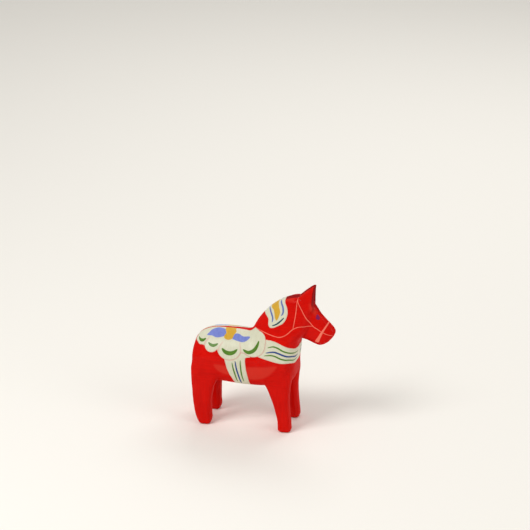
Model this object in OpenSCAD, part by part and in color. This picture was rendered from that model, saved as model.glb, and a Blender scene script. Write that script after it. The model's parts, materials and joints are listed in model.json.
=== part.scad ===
// Carved and painted wooden horse of the Dalarna kind. X runs to the nose, Y to the
// horse's left, Z up. The origin is on the ground under the middle of the body.

/* [Horse] */
// Height from the soles to the ear tips, in mm
horse_height = 200; // [150:10:300]
// Clear gap between a left leg and a right leg, on a horse 200 mm tall
leg_gap = 31; // [30:0.5:33]
// Distance of an ear's foot from the middle plane, on a horse 200 mm tall
ear_foot_y = 7.6; // [7:0.1:8.4]
// Distance of an ear's tip from the middle plane, on a horse 200 mm tall
ear_tip_y = 3.9; // [3:0.1:5.5]

/* [Boards] */
// Thickness of the core board, which carries the head and neck
core_thickness = 28; // [27.5:0.5:30]
// Diameter of the dowels that line the boards up
dowel_diameter = 8; // [6:1:10]
// Length of a dowel
dowel_length = 48; // [40:1:50]
// Clearance round a dowel and at each of its ends, for glue
glue_clearance = 0.1; // [0.1:0.05:0.3]

/* [Paint] */
// Thickness of the dipped coat: primer, red enamel and varnish
coat_thickness = 0.4; // [0.3:0.1:0.8]
// Thickness of one brushed layer of the decoration
film_thickness = 0.3; // [0.2:0.1:0.6]
// Width of the bare strip between the saddles over the croup, 200 mm horse
spine_strip = 2.2; // [0.6:0.2:4]
// Width of a bridle line, 200 mm horse
bridle_line = 1.2; // [0.8:0.1:2]
// Width of a green line on the breast and girth bands, 200 mm horse
band_line = 2; // [1:0.1:2.4]

/* [Hidden] */
nominal_height = 200;
k = horse_height / nominal_height;
ring_points = 18;
curve_steps = 3;
// Half width of a prism that reaches past both flanks, 200 mm horse
beyond = 45;
// Side of a block that holds the largest horse
world = 600;

// Body stations: [distance along the axis, low edge, high edge, half width]
trunk = [
    [-94.5, 77, 106, 22], [-92.5, 68, 112.5, 28], [-88, 64, 118.5, 31.5],
    [-80, 61.5, 124.5, 33.5], [-68, 60.8, 128.6, 34], [-51, 60.4, 130.2, 34],
    [-34, 59.4, 130.4, 34], [-12, 59, 129.6, 34], [4, 59.8, 128.7, 34], [20, 61.4, 127, 33.5],
    [34, 64.3, 123, 31.5], [40, 70, 116, 26]
];
chest_and_neck = [
    [66, -10, 39.5, 24], [70, -12, 40.9, 29], [77, -14, 42.4, 32.3], [87, -17, 43.4, 33.8],
    [98, -19, 44.4, 34], [109, -20, 45.9, 33], [117, -20, 46.9, 31.3], [124, -19, 48, 29],
    [130, -17.5, 51.7, 26.8], [137, -14, 57.8, 24.5], [145, -9.8, 61.5, 22],
    [152, -5, 63.5, 20], [159, 0.8, 64.5, 18.2], [165.5, 7.2, 64.5, 16.8],
    [171.5, 14.6, 63.5, 15.6], [177, 23.1, 61.5, 14.7], [181.2, 32, 58, 13.3],
    [183.3, 38.5, 51, 9.5]
];
head = [
    [-6, -24.5, 17, 12.8], [4, -30.4, 17.3, 13.8], [20.5, -28.9, 13.8, 13.6],
    [31, -23.9, 13.2, 13.2], [41, -20, 12.8, 12.5], [47.3, -17.1, 11.7, 11.5],
    [50.2, -13.8, 9.4, 10], [52.3, -8, 4.8, 7.7]
];
fore_leg = [
    [0, 27, 38.7, 6.6], [1, 25.4, 40.2, 7.8], [3, 24.3, 41.2, 8.5], [15, 23.7, 40.6, 8.7],
    [28, 20.8, 39.4, 8.7], [45, 15.5, 38.7, 8.7], [60, 9.3, 39.8, 8.7], [74, 2, 41.3, 8.5],
    [84, -2, 41, 7], [92, 4, 36, 4]
];
hind_leg = [
    [0, -80, -70.2, 6.6], [1, -82, -68.8, 7.8], [3, -84, -67.5, 8.5], [8, -86.3, -66.5, 8.7],
    [15, -88.5, -67, 8.7], [31, -91, -67, 8.7], [49, -92.5, -64.5, 8.7],
    [63, -93.5, -59.5, 8.7], [78, -94, -53, 8.3], [90, -91.5, -50, 6.5], [98, -86, -55, 3]
];
// An ear's root runs down into the head below its foot
ear_foot_z = 172;
ear = [
    [160, 44, 58, 2], [166, 39.8, 62.8, 4.8], [172, 37.2, 65.4, 6], [178, 41.3, 65.7, 5.6],
    [188, 50.9, 66.2, 4.4], [194.5, 58.2, 66.9, 3], [200, 64.8, 67.8, 1.3]
];

// Places of the stations: [origin, axis, direction of the low and high edges]
head_angle = -43.2;
trunk_place = [[0, 0, 0], [1, 0, 0], [0, 0, 1]];
head_place = [[51.4, 0, 164.3], [cos(head_angle), 0, sin(head_angle)],
    [-sin(head_angle), 0, cos(head_angle)]];
leg_half_width = 8.7;
leg_y = leg_gap / 2 + leg_half_width;
function upright(y) = [[0, y, 0], [0, 0, 1], [1, 0, 0]];
function ear_place(side) =
    let (lean = (ear_tip_y - ear_foot_y) / (ear[len(ear) - 1][0] - ear_foot_z))
    [[0, side * (ear_foot_y - lean * ear_foot_z), 0], [0, side * lean, 1], [1, 0, 0]];

// Powers of the superellipse sections, on the low side and on the high side
trunk_power = [4, 1.8];
neck_power = [1.9, 3];
head_power = [3, 2.4];
leg_power = [3.2, 3.2];
ear_power = [2.6, 2.6];

// Dowel centres in the side view, as [x, z]
shoulder = [16, 92];
flank = [-30, 92];
hip = [-72, 96];

// Side views of the decoration, as [x, z] on a horse 200 mm tall
saddle_top = [
    [-90, 113.5], [-89, 121], [-84, 130], [-74, 140], [-22, 140], [-17, 134], [-9, 134.4],
    [-4.5, 136], [-0.7, 136.3], [1.9, 135.4], [4.2, 133.9], [5.9, 132.2], [6.9, 129.8],
    [7.9, 124.5], [4, 114], [-20, 108], [-60, 110]
];
saddle_lobes = [[-81.9, 117.8, 6.1], [-65.5, 115.2, 10.1], [-41, 114.5, 17.1], [-9.3, 120.9, 16.7]];
// How far the strip between the saddles widens on each side from croup to withers, [x, y]
spine_widening = [
    [-100, 0], [-62, 0], [-52, 0.8], [-42, 1], [-32, 1.7], [-22, 2.9], [-16, 5.4], [-10, 8.9],
    [0, 10.9], [20, 12.4]
];
// How far the flower and its leaves keep from the strip: the pair is not painted quite alike
function flower_gap(side) = side > 0 ? 4 : 0.4;
flower = [
    [-53.5, 136], [-52.1, 130], [-51.2, 128.5], [-49.3, 126.6], [-50.8, 124], [-49.6, 121.7],
    [-44.2, 120.6], [-39.3, 122.3], [-38.2, 125.2], [-36.2, 128.2], [-38, 130.2], [-38.5, 136]
];
hind_leaf = [
    [-74.4, 122], [-72.6, 124.4], [-69.6, 126.9], [-62.4, 128.8], [-54.5, 129.2],
    [-50, 128.4], [-48, 125], [-54.3, 122.7], [-61.3, 121.6], [-67.5, 122.6]
];
fore_leaf = [
    [-41, 123], [-38, 126.3], [-31.9, 126.9], [-25.1, 125.1], [-16.3, 125.4],
    [-19.2, 121.8], [-24.9, 119.8], [-32.5, 120.6], [-38.5, 121.8]
];
// Each crescent: its course, then its width
crescents = [
    [[[-86.1, 117.3], [-82.7, 116.1], [-78.6, 116.5], [-74.8, 118.9]], 2.9],
    [[[-70.3, 115.8], [-67.4, 113.9], [-62.6, 113.2], [-57, 115.7]], 3.4],
    [[[-50.9, 111.2], [-45.9, 107.4], [-40.2, 106.2], [-34.7, 107.7], [-30.2, 111.7]], 5.2],
    [[[-22.6, 112.2], [-15.4, 109.3], [-8.3, 112.1], [-4, 118.3], [-2, 125]], 4.6]
];
girth_band_side = [
    [-47, 112], [-46.6, 98], [-43.9, 86.8], [-40, 77.2], [-36.7, 71.6], [-34.2, 65.5], [-32, 50],
    [-11.6, 50], [-12.8, 64.5], [-14.6, 74], [-17.1, 85.5], [-18.7, 98], [-18.4, 101.9],
    [-16.5, 102.9], [-12, 103.5], [-9.5, 112]
];
girth_green = [
    [[-36.1, 94.6], [-34.9, 87.8], [-32.6, 79.2], [-29.2, 67.2]],
    [[-25, 98.6], [-24.7, 90.6], [-23.3, 79.5], [-20.7, 68]]
];
girth_blue = [[-31.9, 97], [-30.3, 86.7], [-27.4, 76.5], [-24.2, 64.4]];
breast_band_side = [
    [-2, 128], [6.7, 128.5], [14.3, 128.6], [20.9, 127.3], [27.2, 125], [32.5, 122.6],
    [37.6, 120.5], [42.1, 119], [46.1, 116.6], [51, 111.5], [51, 86], [46, 91], [44.3, 94.6],
    [42.6, 97.2], [40, 98.5], [36, 99.3], [27.5, 99.7], [19.4, 101.2], [11.3, 103], [1.1, 104.9],
    [-8, 107]
];
breast_green = [
    [[11.2, 119], [18.2, 121], [24.8, 119.6], [31.3, 116.3], [37.4, 113.9], [42.8, 112],
        [46.8, 109]],
    [[7, 108.4], [15.8, 109.8], [22.3, 108.8], [28.7, 106.1], [34.9, 104.4], [40.2, 103.1],
        [45.4, 99.4]]
];
breast_blue = [
    [9.2, 112.3], [18.7, 114.3], [25.2, 113.2], [31.6, 110.8], [37.5, 108.6], [42.7, 107],
    [46.1, 102.8]
];
mane_patch_side = [
    [-12, 164], [1.6, 157.7], [7.4, 154], [8.4, 150.6], [8.8, 146.8], [11.4, 143.6],
    [16.3, 144], [20.7, 146.1], [24.5, 148.2], [28.2, 150.4], [31.3, 154], [33.4, 158.9],
    [34.5, 165], [33.2, 172], [29.1, 178.5], [24, 190]
];
mane_yellow_side = [
    [1, 178], [9.8, 167.6], [14, 165.4], [16.1, 161.5], [17.6, 156.2], [20.2, 153.6],
    [22.7, 158.2], [24.2, 164.6], [22.4, 169.9], [19.8, 174.6], [13, 186]
];
mane_blue = [
    [[4.9, 166.9], [8.7, 164.4], [12.1, 160.2], [14.4, 155.6], [14.1, 150.5]],
    [[21.1, 179.1], [23.8, 175.8], [26.9, 172.4], [28.2, 168], [28, 164], [26.1, 160.6]]
];
mane_teal = [[14.4, 146.4], [19.9, 148.9], [24.9, 153], [30, 158.6]];
cheek_strap = [[46.2, 184], [46.1, 178], [45.7, 171.2], [44.8, 160.9], [42.5, 144.4]];
face_strap = [
    [46.2, 184], [47.5, 180], [52.7, 170.2], [59.3, 158.1], [66.8, 148], [72.7, 144.1],
    [79.3, 139.9], [85.8, 136.9], [92, 135]
];
rein = [
    [-9, 137.5], [-1.4, 137.4], [5.3, 136.5], [12.4, 135.2], [19.2, 133.9], [25.6, 133.4],
    [32.3, 135.8], [37.5, 140], [42.4, 144.6], [49.6, 147.8], [58.3, 148], [67.4, 147.6]
];
// The noseband crosses the bridge of the nose and widens down the cheek
noseband_side = [
    [88.2, 156], [85, 151.5], [81, 145.5], [77.3, 139.9], [73.4, 133], [70.3, 127.7],
    [72.5, 126], [75.4, 126.7], [77.2, 131.8], [80, 138.5], [83.1, 144.4], [86.4, 150],
    [90.2, 154.6]
];
eye_side = [
    [71.4, 163], [73.6, 160.9], [75.2, 157.9], [74.4, 155.9], [72, 156.2], [70, 157.9],
    [70.2, 160.8]
];

function signed_power(v, p) = sign(v) * pow(abs(v), p);
function half_reach(station) = (station[2] - station[1]) / 2;
function slope(stations, i) =
    let (before = stations[max(i - 1, 0)], after = stations[min(i + 1, len(stations) - 1)])
    (half_reach(after) - half_reach(before)) / (after[0] - before[0]);

// A station moved in square to the surface. A negative inset moves it out.
function moved(stations, i, inset, flush) =
    let (
        station = stations[i],
        steep = slope(stations, i),
        tilt = sqrt(1 + steep * steep),
        along = i == 0 ? (flush ? 0 : inset) : i == len(stations) - 1 ? -inset
            : inset * steep / tilt,
        across = inset / tilt
    )
    [station[0] + along, station[1] + across, station[2] - across, station[3] - across];

// One section, as points in space
function ring(place, station, power) = [
    for (i = [0:ring_points - 1])
        let (
            turn = 360 * i / ring_points,
            p = 2 / (sin(turn) < 0 ? power[0] : power[1]),
            middle = (station[1] + station[2]) / 2,
            up = middle + half_reach(station) * signed_power(sin(turn), p),
            side = station[3] * signed_power(cos(turn), p)
        )
        k * (place[0] + station[0] * place[1] + up * place[2] + [0, side, 0])
];

// A convex length between two sections
module segment(a, b) {
    hull() polyhedron(concat(a, b), [[for (i = [0:len(a) + len(b) - 1]) i]]);
}

// A member along its stations. A flush member keeps its first station's level, and
// below adds a stub under it.
module member(place, stations, power, inset, flush = false, below = 0) {
    last = len(stations) - 1;
    all_moved = [for (i = [0:last]) moved(stations, i, inset / k, flush)];
    rings = [for (station = all_moved) ring(place, station, power)];
    foot = all_moved[0];
    for (i = [0:last - 1]) segment(rings[i], rings[i + 1]);
    if (below > 0) segment(
        ring(place, [foot[0] - below, foot[1], foot[2], foot[3]], power), rings[0]);
}

module whole_horse(inset = 0, below = 0) {
    member(trunk_place, trunk, trunk_power, inset);
    member(upright(0), chest_and_neck, neck_power, inset);
    member(head_place, head, head_power, inset);
    for (side = [-1, 1]) {
        member(upright(side * leg_y), fore_leg, leg_power, inset, true, below);
        member(upright(side * leg_y), hind_leg, leg_power, inset, true, below);
        member(ear_place(side), ear, ear_power, inset);
    }
}

// What lies between two levels of y
module slab(y_from, y_to) {
    translate([-world / 2, y_from, -world / 2]) cube([world, y_to - y_from, world]);
}

module dowel(place, clearance = 0) {
    translate([place[0] * k, 0, place[1] * k]) rotate([90, 0, 0]) cylinder(
        d = dowel_diameter + 2 * clearance, h = dowel_length + 2 * clearance,
        center = true, $fn = 32);
}

// The part of the wood between two levels of y, with its dowel holes
module board(y_from, y_to) {
    color("burlywood") difference() {
        intersection() {
            whole_horse(coat_thickness);
            slab(y_from, y_to);
        }
        for (place = [shoulder, flank, hip]) dowel(place, glue_clearance);
    }
}

module core_board() { board(-core_thickness / 2, core_thickness / 2); }
module left_side_board() { board(core_thickness / 2, world / 2); }
module right_side_board() { board(-world / 2, -core_thickness / 2); }
module shoulder_dowel() { color("wheat") dowel(shoulder); }
module flank_dowel() { color("wheat") dowel(flank); }
module hip_dowel() { color("wheat") dowel(hip); }

// The coat wraps the wood all round and is open under the feet
module red_coat() {
    color("red") difference() {
        whole_horse(0);
        whole_horse(coat_thickness, below = 1);
    }
}

// Catmull-Rom curve through the points
function between(a, b, c, d, t) =
    0.5 * (2 * b + (c - a) * t + (2 * a - 5 * b + 4 * c - d) * t * t
        + (3 * b - a - 3 * c + d) * t * t * t);
function closed_curve(points) = let (n = len(points)) [
    for (i = [0:n - 1], s = [0:curve_steps - 1])
        between(points[(i + n - 1) % n], points[i], points[(i + 1) % n],
            points[(i + 2) % n], s / curve_steps)
];
function open_curve(points) = let (n = len(points)) concat([
    for (i = [0:n - 2], s = [0:curve_steps - 1])
        between(points[max(i - 1, 0)], points[i], points[i + 1],
            points[min(i + 2, n - 1)], s / curve_steps)
], [points[n - 1]]);

// A brush stroke along a course. Its half width follows a power of a sine, so a high
// power gives pointed ends and a low one gives blunt ends.
module stroke(course, width, power) {
    line = open_curve(course);
    last = len(line) - 1;
    function reach(i) = width / 2 * pow(max(sin(180 * i / last), 0.01), power);
    function normal(i) =
        let (d = line[min(i + 1, last)] - line[max(i - 1, 0)]) [-d[1], d[0]] / norm(d);
    polygon(concat(
        [for (i = [0:last]) line[i] + reach(i) * normal(i)],
        [for (i = [last:-1:0]) line[i] - reach(i) * normal(i)]));
}

// Paint on the horse where its side view covers it. Side is 1 for the left, -1 for the
// right and 0 for both. Clear is how far it stays from the middle plane.
module painted(paint, layer, side, clear = 2) {
    y_from = side == 1 ? clear : -beyond;
    y_to = side == -1 ? -clear : beyond;
    color(paint) difference() {
        intersection() {
            whole_horse(-layer * film_thickness);
            scale(k) translate([0, y_to, 0]) rotate([90, 0, 0])
                linear_extrude(y_to - y_from) children();
        }
        whole_horse(-(layer - 1) * film_thickness);
    }
}

module saddle_outline() {
    polygon(saddle_top);
    for (lobe = saddle_lobes) translate([lobe[0], lobe[1]]) circle(lobe[2], $fn = 44);
}

// Keeps its children off the strip along the spine, and more on each side of that
module off_the_spine(more = 0) {
    edge = [for (p = spine_widening) [p[0], p[1] + spine_strip / 2 + more]];
    last = len(edge) - 1;
    difference() {
        children();
        scale(k) linear_extrude(world) polygon(concat(
            edge, [for (i = [last:-1:0]) [edge[i][0], -edge[i][1]]]));
    }
}

module saddle(side) {
    off_the_spine() painted("ivory", 1, side, 0) saddle_outline();
}

module flower_outline() { polygon(closed_curve(flower)); }

module saddle_flower(side) {
    off_the_spine(flower_gap(side)) painted("goldenrod", 2, side, 0) flower_outline();
}

module saddle_leaves(side) {
    off_the_spine(flower_gap(side)) painted("cornflowerblue", 2, side, 0) difference() {
        union() {
            polygon(closed_curve(hind_leaf));
            polygon(closed_curve(fore_leaf));
        }
        flower_outline();
    }
}

module saddle_crescents(side) {
    painted("olivedrab", 2, side) for (c = crescents) stroke(c[0], c[1], 0.42);
}

module breast_band() {
    painted("ivory", 1, 0) difference() {
        polygon(breast_band_side);
        saddle_outline();
    }
}

module breast_green_lines(side) {
    painted("olivedrab", 2, side, 5) for (c = breast_green) stroke(c, band_line, 0.3);
}

module breast_blue_line(side) {
    painted("steelblue", 2, side, 5) stroke(breast_blue, 1.15 * band_line, 0.3);
}

module girth_band() {
    painted("ivory", 1, 0) difference() {
        polygon(girth_band_side);
        saddle_outline();
        polygon(breast_band_side);
    }
}

module girth_green_lines(side) {
    painted("olivedrab", 2, side) for (c = girth_green) stroke(c, band_line, 0.3);
}

module girth_blue_line(side) {
    painted("steelblue", 2, side) stroke(girth_blue, 1.15 * band_line, 0.3);
}

module mane_patch() { painted("ivory", 1, 0) polygon(mane_patch_side); }

module mane_yellow_stroke() { painted("goldenrod", 2, 0) polygon(mane_yellow_side); }

module mane_blue_lines(side) {
    painted("slateblue", 2, side) for (c = mane_blue) stroke(c, 1.3 * band_line, 0.35);
}

module mane_teal_line(side) {
    painted("darkslategray", 2, side) stroke(mane_teal, band_line, 0.3);
}

module bridle(side) {
    painted("salmon", 1, side) {
        stroke(cheek_strap, bridle_line, 0.2);
        stroke(face_strap, bridle_line, 0.2);
        stroke(rein, bridle_line, 0.2);
    }
}

module noseband() { painted("salmon", 2, 0) polygon(closed_curve(noseband_side)); }

module eye(side) { painted("purple", 1, side) polygon(closed_curve(eye_side)); }

module left_saddle() { saddle(1); }
module right_saddle() { saddle(-1); }
module left_saddle_leaves() { saddle_leaves(1); }
module right_saddle_leaves() { saddle_leaves(-1); }
module left_saddle_flower() { saddle_flower(1); }
module right_saddle_flower() { saddle_flower(-1); }
module left_saddle_crescents() { saddle_crescents(1); }
module right_saddle_crescents() { saddle_crescents(-1); }
module left_breast_green_lines() { breast_green_lines(1); }
module right_breast_green_lines() { breast_green_lines(-1); }
module left_breast_blue_line() { breast_blue_line(1); }
module right_breast_blue_line() { breast_blue_line(-1); }
module left_girth_green_lines() { girth_green_lines(1); }
module right_girth_green_lines() { girth_green_lines(-1); }
module left_girth_blue_line() { girth_blue_line(1); }
module right_girth_blue_line() { girth_blue_line(-1); }
module left_mane_blue_lines() { mane_blue_lines(1); }
module right_mane_blue_lines() { mane_blue_lines(-1); }
module left_mane_teal_line() { mane_teal_line(1); }
module right_mane_teal_line() { mane_teal_line(-1); }
module left_bridle() { bridle(1); }
module right_bridle() { bridle(-1); }
module left_eye() { eye(1); }
module right_eye() { eye(-1); }

core_board();
left_side_board();
right_side_board();
shoulder_dowel();
flank_dowel();
hip_dowel();
red_coat();
left_saddle();
right_saddle();
left_saddle_leaves();
right_saddle_leaves();
left_saddle_flower();
right_saddle_flower();
left_saddle_crescents();
right_saddle_crescents();
breast_band();
left_breast_green_lines();
right_breast_green_lines();
left_breast_blue_line();
right_breast_blue_line();
girth_band();
left_girth_green_lines();
right_girth_green_lines();
left_girth_blue_line();
right_girth_blue_line();
mane_patch();
mane_yellow_stroke();
left_mane_blue_lines();
right_mane_blue_lines();
left_mane_teal_line();
right_mane_teal_line();
left_bridle();
right_bridle();
noseband();
left_eye();
right_eye();
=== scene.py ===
"""The looks of a carved and painted wooden horse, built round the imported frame.

Lengths are in millimetres until a mesh is made. The axes are the frame's: X to the nose, Y to the
horse's left, Z up. The body is a smooth blend of stationed members, the boards are cut from it,
the red coat wraps it, and each brushed decoration is a film laid on its surface.
"""

import json
import math

import bmesh
import bpy
import numpy as np
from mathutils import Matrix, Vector


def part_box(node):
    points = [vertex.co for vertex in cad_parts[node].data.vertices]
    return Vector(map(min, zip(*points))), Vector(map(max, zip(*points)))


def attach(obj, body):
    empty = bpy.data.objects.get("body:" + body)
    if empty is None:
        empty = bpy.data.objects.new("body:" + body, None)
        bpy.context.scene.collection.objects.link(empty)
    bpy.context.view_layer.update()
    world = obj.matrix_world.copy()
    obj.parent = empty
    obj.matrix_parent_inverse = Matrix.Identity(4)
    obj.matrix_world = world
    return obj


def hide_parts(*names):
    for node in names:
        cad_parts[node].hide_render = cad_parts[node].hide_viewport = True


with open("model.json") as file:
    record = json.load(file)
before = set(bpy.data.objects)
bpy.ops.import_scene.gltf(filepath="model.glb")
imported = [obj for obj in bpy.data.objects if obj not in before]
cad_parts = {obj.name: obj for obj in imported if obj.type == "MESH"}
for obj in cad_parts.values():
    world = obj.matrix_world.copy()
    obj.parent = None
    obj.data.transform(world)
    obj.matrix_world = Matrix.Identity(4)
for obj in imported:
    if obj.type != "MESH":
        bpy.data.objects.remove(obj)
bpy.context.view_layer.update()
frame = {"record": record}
SLOTS = {part["node"]: part["material_slot"] for part in frame["record"]["subparts"]}

MM = 0.001

# ---- sizes, in millimetres
COAT = 0.35  # thickness of the dipped coat
CREAM = 0.24  # thickness of the cream films
COLOUR = 0.18  # thickness of the colours on and beside them
GREEN_LINE, BLUE_LINE, MANE_BLUE_LINE, TEAL_LINE, BRIDLE_LINE = 2.0, 2.3, 2.6, 2.0, 1.2
GRID = 1.1  # step of the grid that finds the body's surface
COARSE = 2.2  # the same for the surfaces under the paint
LOW, HIGH = (-98.0, -37.0, -2.0), (99.0, 37.0, 203.0)  # corners of a box that holds the horse
LEG_Y = 24.2  # distance of a leg's middle from the middle plane
EAR_BASE_Y, EAR_TIP_Y = 7.6, 3.9  # how far an ear's middle is from the middle plane
SOLE_DROP = 0.45  # how far under the floor the wood's rounded feet would end
BARE_RIM, LINING_RIM = 0.3, 0.5  # how far above the floor the coat and its lining end
NECK_BLEND, HEAD_BLEND, LEG_BLEND, EAR_BLEND = 6, 3, 2.5, 1.5  # radii where members meet
HAND_WORK = 0.09  # depth of the undulations that a knife and sandpaper leave

# Stations: distance along the member, low edge, high edge, half width
TRUNK = [
    (-94.6, 79, 105.5, 20), (-92.8, 70, 112.3, 27), (-88.5, 65, 118.1, 31),
    (-80.5, 61.7, 124, 33.3), (-68, 61, 128.3, 34), (-51, 60.5, 130, 34),
    (-34, 59.5, 130.3, 34), (-12, 59.2, 129.5, 34), (4, 60, 128.6, 34), (20, 61.6, 127, 33.5),
    (34, 64.5, 123, 31.5), (40, 70, 116, 26),
]
CHEST_AND_NECK = [
    (64, -8, 37.4, 22), (70, -12, 40.8, 29), (77, -14, 42.3, 32.3), (87, -17, 43.3, 33.8),
    (98, -19, 44.3, 34), (109, -20, 45.8, 33), (117, -20, 46.8, 31.3), (124, -19, 47.9, 29),
    (130, -17.5, 51.6, 26.8), (137, -14, 57.8, 24.5), (145, -9.8, 61.5, 22), (152, -5, 63.5, 20),
    (159, 0.8, 64.5, 18.2), (165.5, 7.2, 64.5, 16.8), (171.5, 14.6, 63.5, 15.6),
    (177, 23.1, 61.5, 14.7), (181.2, 32, 58, 13), (183.5, 39.5, 50, 8),
]
HEAD = [
    (-6, -24.5, 17.2, 13.4), (4, -30.4, 17.6, 14.4), (20.5, -28.9, 14.1, 14.2),
    (31, -23.9, 13.4, 13.8), (41, -20, 13.1, 13), (47, -17.1, 12, 11.8),
    (50, -13.4, 9.6, 9.8), (52.3, -7.6, 4.8, 6.5),
]
FORE_LEG = [
    (0, 25, 40.8, 8), (3, 24.3, 41.3, 8.5), (15, 23.7, 40.6, 8.7), (28, 20.8, 39.4, 8.7),
    (45, 15.5, 38.7, 8.7), (60, 9.3, 39.8, 8.7), (74, 2, 41.3, 8.5), (84, -2, 41, 7),
    (94, 4, 36, 3.5),
]
HIND_LEG = [
    (0, -82, -68.5, 8), (3, -84, -67.5, 8.5), (8, -86.3, -66.5, 8.7), (15, -88.5, -67, 8.7),
    (31, -91, -67, 8.7), (49, -92.5, -64.5, 8.7), (63, -93.5, -59.5, 8.7),
    (78, -94, -53, 8.3), (90, -91.5, -50, 6.5), (100, -85, -56, 2.5),
]
EAR_FOOT_Z = 170  # an ear's root runs down into the head below its foot
EAR = [
    (156, 44, 56, 1), (163, 39.5, 61.8, 4.2), (170, 35.7, 65.4, 6.2), (178, 41, 65.7, 5.6),
    (188, 50.7, 66.2, 4.4), (194.5, 58, 66.9, 3), (200, 64.6, 67.8, 1.3),
]
HEAD_ORIGIN = (51.4, 164.3)
HEAD_ANGLE = math.radians(-43.2)


# ---- the body's shape
def monotone_curve(x, y, at):
    """A cubic curve through the points that never swings past them."""
    step, rise = np.diff(x), np.diff(y) / np.diff(x)
    slope = np.zeros_like(y)
    same = rise[:-1] * rise[1:] > 0
    near, far = 2 * step[1:] + step[:-1], step[1:] + 2 * step[:-1]
    slope[1:-1][same] = ((near + far)[same]
                         / (near[same] / rise[:-1][same] + far[same] / rise[1:][same]))
    slope[0], slope[-1] = rise[0], rise[-1]
    i = np.clip(np.searchsorted(x, at) - 1, 0, len(step) - 1)
    t = (at - x[i]) / step[i]
    return ((1 + 2 * t) * (1 - t) ** 2 * y[i] + t * (1 - t) ** 2 * step[i] * slope[i]
            + t * t * (3 - 2 * t) * y[i + 1] + t * t * (t - 1) * step[i] * slope[i + 1])


def smooth_min(a, b, radius):
    """The lesser of two distances, rounded where they are alike."""
    share = np.clip(0.5 + 0.5 * (b - a) / radius, 0, 1)
    return b + (a - b) * share - radius * share * (1 - share)


def ramp(value, start, end):
    """0 up to the start and 1 from the end on, which may be the lower one."""
    return np.clip((value - start) / (end - start), 0, 1)


class Member:
    """A length of the body. Its sections are superellipses, whose corners a knife's chamfer cuts
    back. Narrowing is how much less wide its high side is."""

    samples = 240  # along the member
    knife_softness = 0.8  # radius between a chamfer and the faces beside it
    narrow_from, narrow_power = -0.6, 1.5  # the height is -1 at the low side and 1 at the high one

    def __init__(self, stations, low_power, high_power, chamfer=None, cap=1.0, narrowing=0.0):
        table = np.array(stations, float)
        self.at = np.linspace(table[0, 0], table[-1, 0], self.samples)
        self.low, self.high, self.half = (
            monotone_curve(table[:, 0], table[:, i], self.at) for i in (1, 2, 3))
        self.low_power, self.high_power = low_power, high_power
        self.chamfer, self.cap, self.narrowing = chamfer, cap, narrowing

    def distance(self, along, up, across, start=None):
        """About how far points are from the member, below 0 inside. Start moves its start."""
        low = np.interp(along, self.at, self.low)
        high = np.interp(along, self.at, self.high)
        half = np.interp(along, self.at, self.half)
        up = up - (low + high) / 2
        b = up / ((high - low) / 2)
        rise = np.clip((b - self.narrow_from) / (1 - self.narrow_from), 0, 1.1)
        half = half * (1 - self.narrowing * rise ** self.narrow_power)
        a, b = np.abs(across) / half, np.abs(b)
        power = np.where(up < 0, self.low_power, self.high_power)
        length = np.hypot(up, across) + 1e-6
        round_edge = (a ** power + b ** power) ** (1 / power) + 1e-6
        sides = length * (1 - 1 / round_edge)
        if self.chamfer:
            flat = length * (1 - self.chamfer / (a + b + 1e-6))
            sides = -smooth_min(-sides, -flat, self.knife_softness)
        end = np.maximum(along - self.at[-1], (self.at[0] if start is None else start) - along)
        inner = np.minimum(np.maximum(sides, end) + self.cap, 0)
        outer = np.hypot(np.maximum(sides + self.cap, 0), np.maximum(end + self.cap, 0))
        return inner + outer - self.cap


trunk = Member(TRUNK, 4.2, 1.85, cap=5)
neck = Member(CHEST_AND_NECK, 1.95, 3.4, cap=3)
head = Member(HEAD, 3.2, 3.4, chamfer=1.62, cap=2.5, narrowing=0.45)
fore_leg = Member(FORE_LEG, 4, 4, chamfer=1.66, cap=3)
hind_leg = Member(HIND_LEG, 4, 4, chamfer=1.66, cap=3)
ear = Member(EAR, 3, 3, chamfer=1.7, cap=0.5)


def ear_middle(z):
    """How far the middle of an ear at this height is from the middle plane."""
    rise = (z - EAR_FOOT_Z) / (EAR[-1][0] - EAR_FOOT_Z)
    return EAR_BASE_Y + (EAR_TIP_Y - EAR_BASE_Y) * rise


def field(points, sole=0.0):
    """About the distance from the body, below 0 inside, when the feet end at sole."""
    x, y, z = points[..., 0], np.abs(points[..., 1]), points[..., 2]
    head_x, head_z = x - HEAD_ORIGIN[0], z - HEAD_ORIGIN[1]
    cosine, sine = math.cos(HEAD_ANGLE), math.sin(HEAD_ANGLE)
    along_head, up_head = head_x * cosine + head_z * sine, head_z * cosine - head_x * sine
    body = smooth_min(trunk.distance(x, z, y), neck.distance(z, x, y), NECK_BLEND)
    body = smooth_min(body, head.distance(along_head, up_head, y), HEAD_BLEND)
    for leg in (fore_leg, hind_leg):
        body = smooth_min(body, leg.distance(z, x, y - LEG_Y, sole), LEG_BLEND)
    return smooth_min(body, ear.distance(z, x, y - ear_middle(z)), EAR_BLEND)


def gradient(points, sole=0.0):
    """The way out of the body at the points, and its size there, which is near 1."""
    reach = 0.05
    n = np.stack([field(points + reach * axis, sole) - field(points - reach * axis, sole)
                  for axis in np.eye(3)], axis=-1) / (2 * reach)
    return n, np.linalg.norm(n, axis=-1, keepdims=True) + 1e-9


def settle(points, sole=0.0, rounds=3):
    """Moves points onto the body's surface."""
    for _ in range(rounds):
        n, size = gradient(points, sole)
        move = field(points, sole)[:, None] * n / size ** 2
        points = points - np.clip(move, -1.0, 1.0)
    return points


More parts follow.
